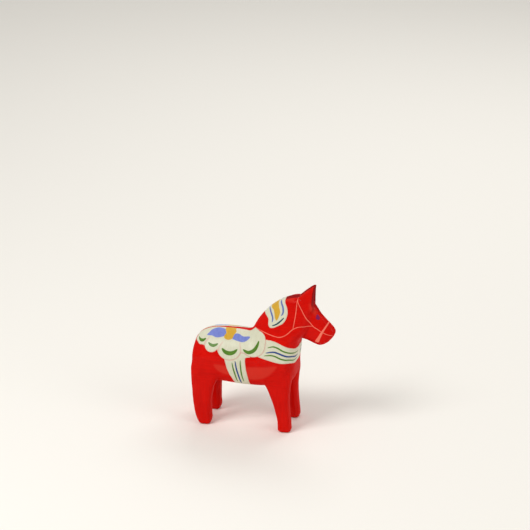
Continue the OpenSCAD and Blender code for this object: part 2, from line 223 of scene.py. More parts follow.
def surface_net(low, high, step, sole=0.0):
    """Quads over the body's surface, with one point in each grid cell it crosses."""
    axes = [np.arange(a, b + step, step) for a, b in zip(low, high)]
    grid = np.stack(np.meshgrid(*axes, indexing="ij"), axis=-1)
    value = np.concatenate([field(part, sole) for part in np.array_split(grid, 16)])
    inside = value < 0
    corners = [(i, j, k) for i in (0, 1) for j in (0, 1) for k in (0, 1)]
    ends = np.array(inside.shape) - 1
    count = sum(inside[tuple(slice(a, a + end) for a, end in zip(c, ends))].astype(np.int8)
                for c in corners)
    cells = np.argwhere((count > 0) & (count < 8))
    number = np.full(ends, -1)
    number[tuple(cells.T)] = np.arange(len(cells))
    total, hits = np.zeros((len(cells), 3)), np.zeros(len(cells))
    for c in corners:
        for axis in range(3):
            if c[axis]:
                continue
            d = list(c)
            d[axis] = 1
            va, vb = (value[tuple((cells + e).T)] for e in (c, d))
            cross = (va < 0) != (vb < 0)
            t = np.where(cross, va / np.where(va == vb, 1, va - vb), 0)
            place = cells + np.array(c, float)
            place[:, axis] += t
            total[cross] += place[cross]
            hits += cross
    points = np.array(low) + step * total / hits[:, None]
    quads = []
    for axis in range(3):
        u, v = (axis + 1) % 3, (axis + 2) % 3
        change = np.diff(inside.astype(np.int8), axis=axis)
        edges = np.argwhere(change)
        edges = edges[(edges[:, u] > 0) & (edges[:, v] > 0)]
        du, dv = np.eye(3, dtype=int)[[u, v]]
        ring = np.stack([number[tuple((edges - s).T)] for s in (du + dv, dv, 0 * du, du)], axis=1)
        entering = change[tuple(edges.T)] > 0
        ring[entering] = ring[entering][:, ::-1]
        quads.append(ring)
    return points, np.concatenate(quads)


def edges_of(faces):
    """Every side of every face, in the face's own direction."""
    corners = faces.shape[1]
    return np.concatenate([faces[:, [i, (i + 1) % corners]] for i in range(corners)])


def evened(points, quads, rounds):
    """Slides points along the surface towards the middle of their neighbours."""
    edges = edges_of(quads)
    for _ in range(rounds):
        total = np.zeros_like(points)
        np.add.at(total, edges[:, 0], points[edges[:, 1]])
        np.add.at(total, edges[:, 1], points[edges[:, 0]])
        count = np.bincount(edges.ravel(), minlength=len(points))[:, None]
        n, size = gradient(points)
        n = n / size
        move = (total / count - points) * 0.5
        points = points + move - n * (move * n).sum(1, keepdims=True)
        points = settle(points, rounds=1)
    return points


def hand_work(points):
    """How far a knife and sandpaper leave the surface from true, in long undulations."""
    x, y, z = points.T
    wave = (np.sin(0.21 * x + 0.33 * y + 0.9) * np.sin(0.17 * z - 0.12 * x + 0.4)
            + 0.6 * np.sin(0.34 * z + 0.27 * y + 2.1) * np.sin(0.31 * x + 0.11 * z)
            + 0.35 * np.sin(0.62 * x - 0.2 * z + 1.3) * np.sin(0.58 * z + 0.4 * y))
    return HAND_WORK * wave


# ---- triangle meshes
def triangles_of(quads):
    """Two triangles for each quad."""
    return np.concatenate([quads[:, [0, 1, 2]], quads[:, [0, 2, 3]]])


def compact(points, faces):
    """The faces with only the points they use."""
    used, inverse = np.unique(faces, return_inverse=True)
    return points[used], inverse.reshape(faces.shape)


def refined(points, faces):
    """Each triangle in four."""
    unique, inverse = np.unique(np.sort(edges_of(faces), axis=1), axis=0, return_inverse=True)
    ab, bc, ca = len(points) + inverse.reshape(3, -1)
    a, b, c = faces.T
    points = np.concatenate([points, points[unique].mean(axis=1)])
    return points, np.concatenate([
        np.stack(corner, axis=1) for corner in ((a, ab, ca), (b, bc, ab), (c, ca, bc), (ab, bc, ca))
    ])


def clipped(points, faces, depth, snap=0.02):
    """The part of the triangles where depth, a number at each point, is above 0. Columns after the
    first three of the points are carried along. The cut goes round a point nearer than snap."""
    depth = np.where(np.abs(depth) < snap, snap, depth)
    inside = depth > 0
    new_points, cut = [], {}

    def crossing(i, j):
        key = (i, j) if i < j else (j, i)
        if key not in cut:
            t = depth[i] / (depth[i] - depth[j])
            cut[key] = len(points) + len(new_points)
            new_points.append(points[i] + t * (points[j] - points[i]))
        return cut[key]

    count = inside[faces].sum(axis=1)
    kept = list(map(tuple, faces[count == 3]))
    for face in faces[(count > 0) & (count < 3)]:
        turn = next(t for t in range(3)
                    if inside[face[t - 1]] == inside[face[t - 2]] != inside[face[t]])
        a, b, c = np.roll(face, -turn).tolist()
        ab, ca = crossing(a, b), crossing(a, c)
        if inside[a]:
            kept.append((a, ab, ca))
        else:
            kept += [(ab, b, c), (ab, c, ca)]
    if new_points:
        points = np.concatenate([points, np.array(new_points)])
    return compact(points, np.array(kept))


def surface_slope(points, faces, value):
    """How steeply a number at each point changes along the surface, at each point."""
    a, b, c = (points[faces[:, i]] for i in range(3))
    normal = np.cross(b - a, c - a)
    area = (normal ** 2).sum(axis=1, keepdims=True) + 1e-12
    va, vb, vc = (value[faces[:, i]][:, None] for i in range(3))
    slope = (va * np.cross(normal, c - b) + vb * np.cross(normal, a - c)
             + vc * np.cross(normal, b - a)) / area
    steep = np.linalg.norm(slope, axis=1)
    total = np.zeros(len(points))
    for i in range(3):
        np.add.at(total, faces[:, i], steep)
    return total / np.maximum(np.bincount(faces.ravel(), minlength=len(points)), 1)


def rim_edges(faces):
    """The edges that only one triangle has, in its own direction."""
    edges = edges_of(faces)
    _, inverse, count = np.unique(np.sort(edges, axis=1), axis=0, return_inverse=True,
                                  return_counts=True)
    return edges[count[inverse.ravel()] == 1]


def link(name, data):
    """An object made and put in the scene."""
    thing = bpy.data.objects.new(name, data)
    bpy.context.collection.objects.link(thing)
    return thing


def make_piece(name, points, faces, node, numbers=None, angle=None):
    """A mesh object from points in millimetres. It rides on the frame and replaces its node."""
    mesh = bpy.data.meshes.new(name)
    mesh.from_pydata((points * MM).tolist(), [], [list(map(int, f)) for f in faces])
    mesh.polygons.foreach_set("use_smooth", [True] * len(mesh.polygons))
    if angle:
        mesh.set_sharp_from_angle(angle=math.radians(angle))
    for key, value in (numbers or {}).items():
        kind, part = ("FLOAT", "value") if value.ndim == 1 else ("FLOAT_VECTOR", "vector")
        mesh.attributes.new(key, kind, "POINT").data.foreach_set(part, value.ravel())
    mesh.update()
    piece = link(name, mesh)
    mesh.materials.append(MATERIALS[SLOTS[node]])
    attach(piece, "root")
    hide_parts(node)


def laid(points, height, sole=0.0):
    """Points on the true surface moved to a height over the surface as a hand leaves it."""
    n, size = gradient(points, sole)
    return points + n / size * (hand_work(points) + height)[:, None]


def shell(points, faces, top, bottom):
    """A closed skin between two heights over the surface."""
    count = len(points)
    a, b = rim_edges(faces).T
    walls = triangles_of(np.stack([b, a, a + count, b + count], axis=1))
    return (np.concatenate([laid(points, top), laid(points, bottom)]),
            np.concatenate([faces, faces[:, ::-1] + count, walls]))


# ---- outlines in the side view
def spline(points, closed, steps=8):
    """A Catmull-Rom curve."""
    p = np.array(points, float)
    p = np.concatenate([p[-1:], p, p[:2]] if closed else [p[:1], p, p[-1:]])
    t = np.linspace(0, 1, steps, endpoint=False)[:, None]
    curve = [0.5 * (2 * b + (c - a) * t + (2 * a - 5 * b + 4 * c - d) * t ** 2
                    + (3 * b - a - 3 * c + d) * t ** 3)
             for a, b, c, d in zip(p, p[1:], p[2:], p[3:])]
    return np.concatenate(curve if closed else curve + [p[-1:]])


def off_edge(places, a, b):
    """Each place's share of the way along a straight edge, and its offset from that point of it."""
    edge = b - a
    share = np.clip((places - a) @ edge / (edge @ edge + 1e-12), 0, 1)
    return share, places - a - share[:, None] * edge


def side_view(points):
    """X and Z."""
    return points[:, [0, 2]]


class Area:
    """A filled outline. Depth is the distance in from its edge."""

    def __init__(self, outline, smooth=True, grain=0.0):
        self.outline = spline(outline, True) if smooth else np.array(outline, float)
        self.grain = math.radians(grain)

    def depth(self, points):
        at = side_view(points)
        nearest, inside = np.full(len(at), 1e9), np.zeros(len(at), bool)
        for a, b in zip(self.outline, np.roll(self.outline, -1, axis=0)):
            nearest = np.minimum(nearest, (off_edge(at, a, b)[1] ** 2).sum(axis=1))
            straddle = (a[1] <= at[:, 1]) != (b[1] <= at[:, 1])
            run, rise = b[0] - a[0], (b[1] - a[1]) or 1e-12
            inside ^= straddle & (at[:, 0] < a[0] + (at[:, 1] - a[1]) * run / rise)
        return np.where(inside, 1, -1) * np.sqrt(nearest)

    def brush(self, points):
        """Each point's place along and across the pull of the brush."""
        x, z = side_view(points).T
        cosine, sine = math.cos(self.grain), math.sin(self.grain)
        across = z * cosine - x * sine + 0.7 * np.abs(points[:, 1])
        return np.stack([x * cosine + z * sine, across, 0 * x], axis=1)


class Stroke:
    """One pull of the brush: a course, a width and how fast its ends narrow."""

    def __init__(self, course, width, taper):
        self.line = spline(course, False)
        self.width, self.taper = width, taper
        step = np.linalg.norm(np.diff(self.line, axis=0), axis=1)
        self.length = np.concatenate([[0], np.cumsum(step)])

    def nearest(self, points):
        """How far each point is along the course, and how far to its left."""
        at = side_view(points)
        best = np.full(len(at), 1e9)
        along, across = np.zeros(len(at)), np.zeros(len(at))
        for i, (a, b) in enumerate(zip(self.line[:-1], self.line[1:])):
            edge = b - a
            share, off = off_edge(at, a, b)
            away = np.hypot(*off.T)
            better = away < best
            best = np.where(better, away, best)
            along = np.where(better, self.length[i] + share * math.hypot(*edge), along)
            side = np.sign(edge[0] * off[:, 1] - edge[1] * off[:, 0])
            across = np.where(better, side * away, across)
        return along, across

    def depth(self, points):
        along, across = self.nearest(points)
        share = np.clip(along / self.length[-1], 0, 1)
        half = self.width / 2 * np.maximum(np.sin(math.pi * share), 0.01) ** self.taper
        return half - np.abs(across)

    def brush(self, points):
        along, across = self.nearest(points)
        return np.stack([along, across, 0 * along], axis=1)


class Lobes:
    """The scalloped saddle: round lobes under one back cloth. The brush fans out in each lobe, and
    laps are the lines that run up from between them."""

    lap_width, lap_fade = 0.9, 0.5  # the fade is how much of a lap is lost at its far end
    fan = 1.6  # how far below a lobe's middle its brushwork fans out from, in radii

    def __init__(self, cloth, circles, laps):
        self.cloth, self.circles, self.laps = Area(cloth, smooth=False), circles, laps

    def lobe_depths(self, points):
        x, z = side_view(points).T
        return np.stack([r - np.hypot(x - cx, z - cz) for cx, cz, r in self.circles])

    def depth(self, points):
        return np.maximum(self.cloth.depth(points), self.lobe_depths(points).max(axis=0))

    def brush(self, points):
        x, z = side_view(points).T
        share = self.lobe_depths(points) / np.array([circle[2] for circle in self.circles])[:, None]
        pick = share.argmax(axis=0)
        cx, cz, r = np.array(self.circles)[pick].T
        up = cz + self.fan * r - z
        angle = np.arctan2(x - cx, up)
        return np.stack([np.hypot(x - cx, up), angle * r * 2, pick * 9.0], axis=1)

    def shade(self, points):
        """How strongly a lap's line shows, fading up the line."""
        total = np.zeros(len(points))
        for lap in self.laps:
            along, across = lap.nearest(points)
            fading = 1 - self.lap_fade * along / lap.length[-1]
            total += np.exp(-(across / self.lap_width) ** 2) * fading
        return total


class Group:
    """Several shapes painted as one, less some others."""

    def __init__(self, shapes, without=()):
        self.shapes, self.without = shapes, without

    def depth(self, points):
        depth = np.max([s.depth(points) for s in self.shapes], axis=0)
        for shape in self.without:
            depth = np.minimum(depth, -shape.depth(points))
        return depth

    def brush(self, points):
        pick = np.argmax([s.depth(points) for s in self.shapes], axis=0)
        all_brushes = np.stack([s.brush(points) + 17.0 * i for i, s in enumerate(self.shapes)])
        return all_brushes[pick, np.arange(len(points))]


def strokes(width, taper, *courses):
    return Group([Stroke(course, width, taper) for course in courses])


# ---- materials
def srgb(r, g, b):
    """A colour given in display numbers, as the shader's linear ones."""
    def linear(shade):
        shade /= 255
        return shade / 12.92 if shade <= 0.04045 else ((shade + 0.055) / 1.055) ** 2.4

    return linear(r), linear(g), linear(b), 1.0


class Nodes:
    """Short forms for a material's node tree."""

    def __init__(self, name):
        self.material = bpy.data.materials.new(name)
        self.material.use_nodes = True
        self.tree = self.material.node_tree
        self.shader = self.tree.nodes["Principled BSDF"]

    def fill(self, node, inputs):
        """Links or sets a node's inputs, but not those given as None."""
        for key, value in inputs.items():
            if isinstance(value, bpy.types.NodeSocket):
                self.tree.links.new(value, node.inputs[key])
            elif value is not None:
                node.inputs[key].default_value = value

    def new(self, kind, inputs=None, **settings):
        node = self.tree.nodes.new("ShaderNode" + kind)
        for key, value in settings.items():
            setattr(node, key, value)
        self.fill(node, inputs or {})
        return node

    def attribute(self, name, output="Fac"):
        return self.new("Attribute", attribute_name=name).outputs[output]

    def place(self):
        return self.new("TexCoord").outputs["Object"]

    def scaled(self, vector, scale):
        return self.new("Mapping", {"Vector": vector, "Scale": scale}).outputs[0]

    def noise(self, scale, detail, rough=0.5, squeeze=(1, 1, 1), place=None):
        vector = self.scaled(place or self.place(), squeeze)
        return self.new("TexNoise", {
            "Vector": vector, "Scale": scale, "Detail": detail, "Roughness": rough}).outputs["Fac"]

    def ranged(self, value, low, high, to_low, to_high):
        inputs = {0: value, 1: low, 2: high, 3: to_low, 4: to_high}
        return self.new("MapRange", inputs).outputs[0]

    def maths(self, operation, a, b=0.0):
        return self.new("Math", {0: a, 1: b}, operation=operation).outputs[0]

    def tinted(self, colour, *layers):
        """A colour under tints: what each follows, its start and full values, share and colour."""
        colour = srgb(*colour)
        for value, start, full, most, tint in layers:
            share = self.ranged(value, start, full, 0, most)
            colour = self.new("Mix", {0: share, 6: colour, 7: srgb(*tint)},
                              data_type="RGBA").outputs[2]
        return colour

    def blend(self, share, a, b):
        """Two numbers mixed."""
        return self.new("Mix", {0: share, 2: a, 3: b}).outputs[0]

    def bumps(self, *layers):
        """A normal from pairs of a relief and its depth in metres."""
        normal = None
        for height, distance in layers:
            normal = self.new("Bump", {"Height": height, "Distance": distance, "Strength": 1.0,
                                       "Normal": normal}).outputs[0]
        return normal

    def finish(self, colour, roughness, normal=None, **others):
        self.fill(self.shader, {"Base Color": colour, "Roughness": roughness, "Normal": normal})
        self.fill(self.shader, {key.replace("_", " "): value for key, value in others.items()})
        return self.material


def enamel(name):
    """Brushed red enamel: streaks along the body and down the legs, sags and orange peel. It is
    lighter in patches of painted sheen, lighter along ridges from wear and a painted highlight,
    and darker with painted shade in creases, on the inner ears, the crest and the nose's bridge."""
    n = Nodes(name)
    cloud, peel = n.noise(42, 4), n.noise(1100, 2)
    sag = n.noise(160, 3, squeeze=(1, 1, 0.16))
    pull = n.blend(n.attribute("legs"), n.noise(640, 4, 0.6, (0.06, 1, 1)),
                   n.noise(640, 4, 0.6, (1, 1, 0.06)))
    painted_sheen = n.attribute("painted_sheen")
    ridges_and_creases = n.maths("ADD", n.attribute("ridge"), n.ranged(sag, 0.3, 0.7, -0.15, 0.15))
    colour = n.tinted(
        (206, 13, 5),
        (cloud, 0.3, 0.7, 1, (218, 19, 8)),
        (sag, 0.45, 0.75, 0.4, (195, 11, 5)),
        (pull, 0.42, 0.64, 0.45, (187, 9, 5)),
        # painted sheen: a lighter red in patches, for a highlight
        (painted_sheen, 0, 1, 0.8, (212, 51, 38)),
        # ridges: lighter for wear and a painted highlight
        (ridges_and_creases, 0.2, 0.9, 0.5, (220, 44, 30)),  # on ridges
        # creases: painted shade
        (ridges_and_creases, -0.15, -0.7, 0.7, (112, 5, 5)),  # in creases
        # painted shade on the inner ears, the ear fronts, the crest and the bridge of the nose
        (n.attribute("painted_shade"), 0, 1, 0.9, (134, 8, 12)))
    rough = n.maths("ADD", n.ranged(cloud, 0.3, 0.7, 0.26, 0.34),
                    n.ranged(pull, 0.3, 0.7, -0.03, 0.08))
    rough = n.maths("ADD", rough, n.ranged(painted_sheen, 0, 1, 0, 0.06))
    normal = n.bumps((pull, 0.00009), (peel, 0.000015), (sag, 0.00016))
    return n.finish(colour, rough, normal, Coat_Weight=0.13, Coat_Roughness=0.14,
                    Coat_IOR=1.5, Specular_IOR_Level=0.0)


def brushed(name, light, dark, rim, thin=0.5, rim_width=0.42, streak=0.55):
    """Oil paint with streaks along the brush's pull, tinted at its rim."""
    n = Nodes(name)
    pull = n.attribute("brush", "Vector")
    hair = n.noise(2.6, 4, 0.6, (0.1, 1, 1), pull)
    load = n.noise(1.1, 2, 0.5, (0.1, 0.35, 1), pull)
    blotch = n.noise(260, 3)
    from_edge = n.maths("ADD", n.attribute("rim"), n.ranged(blotch, 0.3, 0.7, -0.12, 0.12))
    colour = n.tinted(
        light, (hair, 0.38, 0.66, streak, dark), (load, 0.35, 0.7, 0.5 * streak, dark),
        (from_edge, rim_width, 0.05, thin, rim), (n.attribute("shade"), 0, 1, 0.75, rim))
    rough = n.ranged(hair, 0.3, 0.7, 0.26, 0.42)
    normal = n.bumps((hair, 0.00007), (blotch, 0.00003))
    return n.finish(colour, rough, normal, Coat_Weight=0.08, Coat_Roughness=0.18,
                    Specular_IOR_Level=0.12)


def timber(name, early, late, ring, pith, along=(1, 0, 0)):
    """Growth rings round a pith line, with pores along it."""
    n = Nodes(name)
    warp = n.noise(22, 3, squeeze=(0.25, 1, 1))
    off = n.new("VectorMath", {0: n.place(), 1: [p * MM for p in pith]},
                operation="SUBTRACT").outputs[0]
    flat = n.scaled(off, tuple(0.03 if a else 1.0 for a in along))
    away = n.new("VectorMath", {0: flat}, operation="LENGTH").outputs["Value"]
    away = n.maths("ADD", away, n.ranged(warp, 0, 1, -0.0022, 0.0022))
    year = n.maths("FRACT", n.maths("MULTIPLY", away, 1 / (ring * MM)))
    pores = n.noise(1, 4, 0.65, tuple(40 if a else 900 for a in along))
    colour = n.tinted(early, (year, 0.35, 0.95, 1, late), (pores, 0.45, 0.75, 0.4, late))
    rough = n.ranged(pores, 0.3, 0.7, 0.62, 0.8)
    normal = n.bumps((pores, 0.00005), (year, 0.00004))
    return n.finish(colour, rough, normal, Specular_IOR_Level=0.3)


MATERIALS = {
    "red_enamel": enamel("red_enamel"),
    "bare_pine": timber("bare_pine", (228, 194, 146), (190, 138, 84), ring=2.6, pith=(0, 9, -40)),
    "beech_dowel": timber("beech_dowel", (216, 176, 130), (186, 140, 98), ring=1.4,
                          pith=(4, 0, 80), along=(0, 1, 0)),
}
# Each paint's light, dark and rim colours, and how far a bolder rim shows and how wide it is
PAINTS = {
    "cream_paint": ((219, 219, 195), (197, 194, 168), (211, 158, 146), 0.75, 1.2),
    "blue_paint": ((126, 139, 209), (98, 112, 184), (158, 166, 216)),
    "yellow_paint": ((218, 173, 60), (186, 138, 36), (222, 196, 130)),
    "green_paint": ((92, 134, 46), (62, 100, 30), (140, 168, 106)),
    "grey_blue_paint": ((108, 124, 182), (76, 92, 150), (150, 160, 196)),
    "navy_paint": ((56, 80, 142), (34, 54, 104), (112, 128, 168)),
    "teal_paint": ((34, 78, 92), (18, 50, 62), (92, 124, 130)),
    "salmon_paint": ((246, 128, 105), (234, 99, 79), (220, 46, 34), 0.6),
    "violet_paint": ((140, 24, 84), (98, 20, 80), (184, 14, 40), 0.9),
}
MATERIALS.update({paint: brushed(paint, *recipe) for paint, recipe in PAINTS.items()})


# ---- the coat
def convexity(points, quads):
    """Up to 1 on a ridge and down to -1 in a crease, a little spread out."""
    i, j = edges_of(quads).T
    n, size = gradient(points)
    n = n / size
    way = points[j] - points[i]
    lean = (way * (n[j] - n[i])).sum(axis=1) / ((way ** 2).sum(axis=1) + 1e-9)
    count = np.bincount(i, minlength=len(points))
    value = np.bincount(i, lean, len(points)) / count
    for _ in range(2):
        value = 0.5 * value + 0.5 * np.bincount(i, value[j], len(points)) / count
    full = 0.4  # the lean, per millimetre, that counts as a sharp ridge
    return np.clip(value / full, -1, 1)


def rings(points, faces):
    """The rim points at each foot, in order round it."""
    rim = np.unique(rim_edges(faces))
    midway_x = (FORE_LEG[0][1] + HIND_LEG[0][2]) / 2
    for fore in (False, True):
        for left in (False, True):
            at = rim[((points[rim, 0] > midway_x) == fore) & ((points[rim, 1] > 0) == left)]
            x, y = (points[at, :2] - points[at, :2].mean(axis=0)).T
            angle = np.arctan2(y, x)
            order = np.argsort(angle)
            yield at[order], angle[order]


def zipped(one, other):
    """Triangles between two rings of point numbers that run round together."""
    (p, pa), (q, qa) = one, other
    i, j, faces = 0, 0, []
    while i < len(p) or j < len(q):
        a, b = p[i % len(p)], q[j % len(q)]
        if j == len(q) or (i < len(p) and pa[i] < qa[j]):
            faces.append((a, p[(i + 1) % len(p)], b))
            i += 1
        else:
            faces.append((a, q[(j + 1) % len(q)], b))
            j += 1
    return faces


skin_points, skin_quads = surface_net(LOW, HIGH, GRID)
skin_points = evened(settle(skin_points), skin_quads, 3)
skin_faces = triangles_of(skin_quads)
lining_points, lining_quads = surface_net(LOW, HIGH, COARSE, -SOLE_DROP)
lining_points = settle(lining_points, -SOLE_DROP)


def painted_shade_at(points):
    """1 where shade is painted: on the ears' inner faces and front edges, on the crest behind them and,
    fainter, on the bridge of the nose."""
    x, y, z = points.T
    y = np.abs(y)
    from_middle = y - ear_middle(z)
    inner_faces = ramp(from_middle, 0, -1) * ramp(z, 180, 183)
    heights, _, fronts, _ = zip(*EAR)
    front_x = np.interp(z, heights, fronts)
    rounded_end = ramp(z - 0.25 * from_middle ** 2, 171, 175)
    front_edges = ramp(x - front_x, -1.7, -1.2) * rounded_end
    crest = ramp(y, 7, 5) * ramp(z, 168, 172) * ramp(x, 50, 47)
    wedge = ramp((82 - x) * 0.35 - y, 0, 1.5)
    bridge = 0.6 * wedge * ramp(z, 150, 154) * ramp(x, 58, 61)
    return np.max([inner_faces, front_edges, crest, bridge], axis=0)


# Painted sheen, a lighter red that stands in for the gloss's highlight: the lower flank, under the
# crest, the brow
sheen_patches = Group([
    Area([(-60.2, 89.3), (-41.3, 88.8), (-18.3, 89.9), (4.8, 92.6), (23.6, 95.6), (19.5, 87.4),
          (9.6, 78.2), (-5.6, 72.2), (-28.5, 74.2), (-46.5, 76.6), (-57, 81.7)]),
    Area([(27, 179.5), (34, 182), (40.5, 182.8), (41.5, 180.2), (36, 179.6), (29, 178.2)]),
    Area([(61.8, 179), (65.3, 177), (67.6, 171), (70.5, 164.6), (68.8, 161.7), (65.5, 165.4),
          (62.2, 172)])])


def make_coat():
    """The red coat: the body's skin over a lining, joined by a rim round each sole."""
    ridge = convexity(skin_points, skin_quads)
    outer = np.column_stack([skin_points, ridge])
    outer, outer_faces = clipped(outer, skin_faces, skin_points[:, 2] - BARE_RIM)
    outer, ridge = outer[:, :3], outer[:, 3]
    inner, inner_faces = clipped(
        lining_points, triangles_of(lining_quads), lining_points[:, 2] - LINING_RIM)
    both = np.concatenate([laid(outer, 0), laid(inner, -COAT, -SOLE_DROP)])
    joins = [face for one, (ring, angle) in zip(rings(outer, outer_faces), rings(inner, inner_faces))
             for face in zipped(one, (ring + len(outer), angle))]
    faces = np.concatenate([outer_faces, inner_faces[:, ::-1] + len(outer), np.array(joins)])
    # the coat's numbers: ridges and creases, painted sheen patches, painted shade, and the legs
    numbers = {"ridge": ridge, "painted_sheen": ramp(sheen_patches.depth(outer), -1.2, 1.8),
               "painted_shade": painted_shade_at(outer), "legs": ramp(outer[:, 2], 66, 52)}
    nothing = np.zeros(len(inner))
    make_piece("red_coat_enamel", both, faces, "red_coat",
               {key: np.concatenate([value, nothing]) for key, value in numbers.items()})


make_coat()


# ---- the wood
def middle_of(node):
    """The middle of a node in the frame, in millimetres to the nearest tenth."""
    return [round((low + high) / 2 / MM, 1) for low, high in zip(*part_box(node))]


def extent_of(node, axis):
    """How long a node in the frame is along an axis, in the same way."""
    low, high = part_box(node)
    return round((high[axis] - low[axis]) / MM, 1)


DOWELS = {node: middle_of(node) for node in ("shoulder_dowel", "flank_dowel", "hip_dowel")}
DOWEL_RADIUS = extent_of("hip_dowel", 2) / 2
HALF_DOWEL = extent_of("hip_dowel", 1) / 2
HALF_CORE = extent_of("core_board", 1) / 2
PAST_SIDE = 60.0  # the distance of a plane clear of the horse
HOLE_RADIUS = DOWEL_RADIUS + 0.1
HOLE_SPARE = 1.0  # how much deeper a blind hole is than its dowel's end
WOOD_GAP = 0.05  # between the wood and the coat


def beside(place, y, reach, angle):
    """A point at a distance from a dowel's line, in the plane at y."""
    return place[0] + reach * math.cos(angle), y, place[2] + reach * math.sin(angle)


def round_hole(mesh, place, y, turns=40):
    """A ring of points and edges round a dowel's line, in the plane at y."""
    ring = [mesh.verts.new(beside(place, y, HOLE_RADIUS, 2 * math.pi * i / turns))
            for i in range(turns)]
    return ring, [mesh.edges.new((a, b)) for a, b in zip(ring, ring[1:] + ring[:1])]


def open_board(y_from, y_to):
    """The body less the coat, between two planes and above the floor, still open where it is cut.
    Each cut is an axis, a level on it and the side that is kept."""
    points = laid(lining_points, -COAT - WOOD_GAP, -SOLE_DROP)
    faces = triangles_of(lining_quads)
    cuts = [(1, y_from, 1), (1, y_to, -1), (2, 0, 1)]
    for axis, level, side in cuts:
        points, faces = clipped(points, faces, side * (points[:, axis] - level))
        points[np.abs(points[:, axis] - level) < 0.03, axis] = level
    return points, faces, cuts


def make_board(node, y_from, y_to):
    """A board, with a blind hole for each dowel in a glued face. The core's go right through."""
    points, faces, cuts = open_board(y_from, y_to)
    glued = [y for y in (y_from, y_to) if abs(y) < PAST_SIDE]
    mesh = bmesh.new()
    corners = [mesh.verts.new(p) for p in points]
    for face in faces:
        mesh.faces.new([corners[i] for i in face])
    holes = {}
    for axis, level, _ in cuts:
        edges = [e for e in mesh.edges
                 if e.is_boundary and all(abs(v.co[axis] - level) < 1e-4 for v in e.verts)]
        if axis == 1 and level in glued:
            holes[level] = [round_hole(mesh, place, level) for place in DOWELS.values()]
            edges += [e for _, hole_edges in holes[level] for e in hole_edges]
        if edges:
            bmesh.ops.triangle_fill(mesh, edges=edges, use_beauty=True)
    for number, place in enumerate(DOWELS.values()):
        start = holes[glued[0]][number][0]
        if len(glued) == 2:
            end = holes[glued[1]][number][0]
        else:
            bottom = math.copysign(HALF_DOWEL + HOLE_SPARE, glued[0])
            end = round_hole(mesh, place, bottom)[0]
            mesh.faces.new(end)
        for i in range(len(start)):
            mesh.faces.new([start[i - 1], start[i], end[i], end[i - 1]])
    bmesh.ops.recalc_face_normals(mesh, faces=mesh.faces)
    mesh.verts.index_update()
    points = np.array([v.co for v in mesh.verts])
    faces = [[v.index for v in f.verts] for f in mesh.faces]
    mesh.free()
    make_piece(node + "_pine", points, faces, node, angle=30)


def make_dowel(node, place, turns=128, flutes=16, flute_depth=0.25):
    """A fluted dowel with chamfered ends, from (distance across the horse, radius) pairs."""
    end = [(0, 1), (0.3, 0.6), (1.2, 0)]  # how far in from an end, and how much thinner it is there
    profile = ([(inset - HALF_DOWEL, DOWEL_RADIUS - less) for inset, less in end]
               + [(HALF_DOWEL - inset, DOWEL_RADIUS - less) for inset, less in reversed(end)])
    points = []
    for y, radius in profile:
        for i in range(turns):
            angle = 2 * math.pi * i / turns
            reach = radius - flute_depth * max(0.0, math.cos(flutes * angle))
            points.append(beside(place, y, reach, angle))
    last = (len(profile) - 1) * turns
    faces = [tuple(reversed(range(turns))), tuple(last + i for i in range(turns))]
    for k in range(len(profile) - 1):
        for i in range(turns):
            a, b = k * turns + i, k * turns + (i + 1) % turns
            faces.append((a, b, b + turns, a + turns))
    make_piece(node + "_fluted", np.array(points), [face[::-1] for face in faces], node, angle=40)


make_board("core_board", -HALF_CORE, HALF_CORE)
make_board("left_side_board", HALF_CORE, PAST_SIDE)
make_board("right_side_board", -PAST_SIDE, -HALF_CORE)
for dowel, place in DOWELS.items():
    make_dowel(dowel, place)


# ---- films of paint
LIP = 0.03  # thickness of a film at its edge
SUNK = 0.05  # how far a film reaches down into what it lies on
STREAK = 0.012  # height of the brush's ridges


def bristle_marks(brush):
    """Ridges across the pull of the brush, which wander along it."""
    along, across = brush[:, 0], brush[:, 1]
    return (np.sin(across * 5.3 + np.sin(along * 0.15) * 1.5)
            + 0.6 * np.sin(across * 9.1 + 1.0 + along * 0.05))


def film(node, shape, base, thickness, side=0, clear=2.0, levels=1, round_edge=0.45, fade=0.0):
    """A layer of brushed paint on the coat, or on another film when base is above 0. It is on one
    side of the middle plane, clear of it, or on both when side is 0. Fade is how far from there
    a line starts to narrow to its point."""
    def depth_at(points):
        depth = shape.depth(points)
        if side:
            room = side * points[:, 1] - (clear(points) if callable(clear) else clear)
            if fade:
                depth = depth - GREEN_LINE / 2 * (1 - ramp(room, 0, fade)) ** 2
            depth = np.minimum(depth, room)
        return depth

    near = depth_at(skin_points) > -2.5 * GRID
    points, faces = compact(skin_points, skin_faces[near[skin_faces].all(axis=1)])
    for _ in range(levels):
        points, faces = refined(points, faces)
        points = settle(points, rounds=1)
    points, faces = clipped(points, faces, depth_at(points))
    depth = np.maximum(depth_at(points), 0)
    rim = depth / np.clip(surface_slope(points, faces, depth), 0.25, 2)
    rim[np.unique(rim_edges(faces))] = 0
    brush = shape.brush(points)
    rise = np.sqrt(1 - (1 - ramp(rim, 0, round_edge)) ** 2)
    top = base + LIP + (thickness - LIP) * rise + STREAK * bristle_marks(brush) * rise
    both, all_faces = shell(points, faces, top, base - SUNK)
    numbers = {"brush": brush, "rim": rim}
    if hasattr(shape, "shade"):
        numbers["shade"] = shape.shade(points)
    make_piece(node + "_brushed", both, all_faces, node,
               {key: np.concatenate([value, value]) for key, value in numbers.items()})


def line_film(node, shape, side, clear=2.0, fade=0.0, base=CREAM):
    """Thin painted lines on a cream film, or on the coat when base is 0."""
    film(node, shape, base, COLOUR, side, clear, levels=2, round_edge=0.4, fade=fade)


